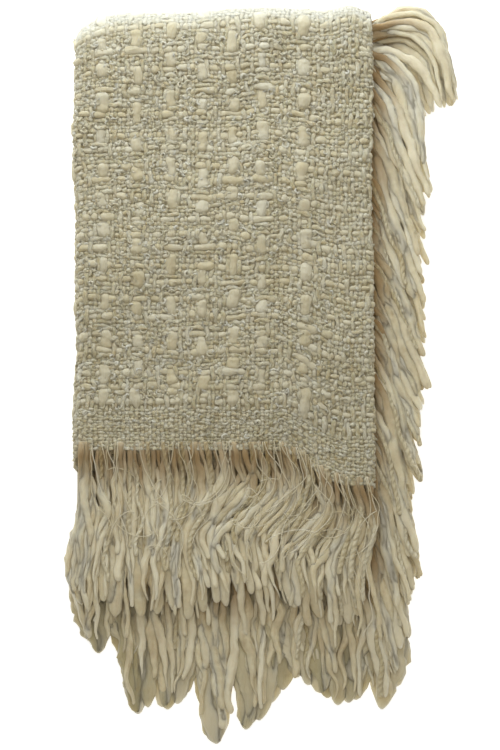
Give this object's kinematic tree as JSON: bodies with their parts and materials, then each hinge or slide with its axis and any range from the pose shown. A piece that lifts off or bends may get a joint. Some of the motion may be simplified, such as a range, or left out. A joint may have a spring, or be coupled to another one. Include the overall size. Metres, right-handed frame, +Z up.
{
  "type": "throw blanket",
  "caption": "Folded throw of thick-and-thin handwoven wool with a long shaggy fringe on all edges, laid flat, for dressing a bed, sofa or shelf",
  "frame": {"origin": "on the floor, at the mount underside, below the middle of the folded strip", "axes": "+Y along the folded strip towards its bent end, +X towards its free side edges and their fringe, +Z up off the floor"},
  "size_m": [0.5127, 0.9403, 0.0638],
  "materials": {
    "woven_cloth": "thick-and-thin plain weave, undyed cream wool",
    "end_fringe_front": "loose wool roving and thin threads",
    "end_fringe_back": "loose wool roving and thin threads",
    "side_fringe_inner": "loose wool roving and thin threads",
    "side_fringe_outer": "loose wool roving and thin threads"
  },
  "bodies": {
    "root": {"woven_cloth": "woven_cloth", "end_fringe_front": "end_fringe_front", "end_fringe_back": "end_fringe_back", "side_fringe_inner": "side_fringe_inner", "side_fringe_outer": "side_fringe_outer"}
  },
  "joints": []
}
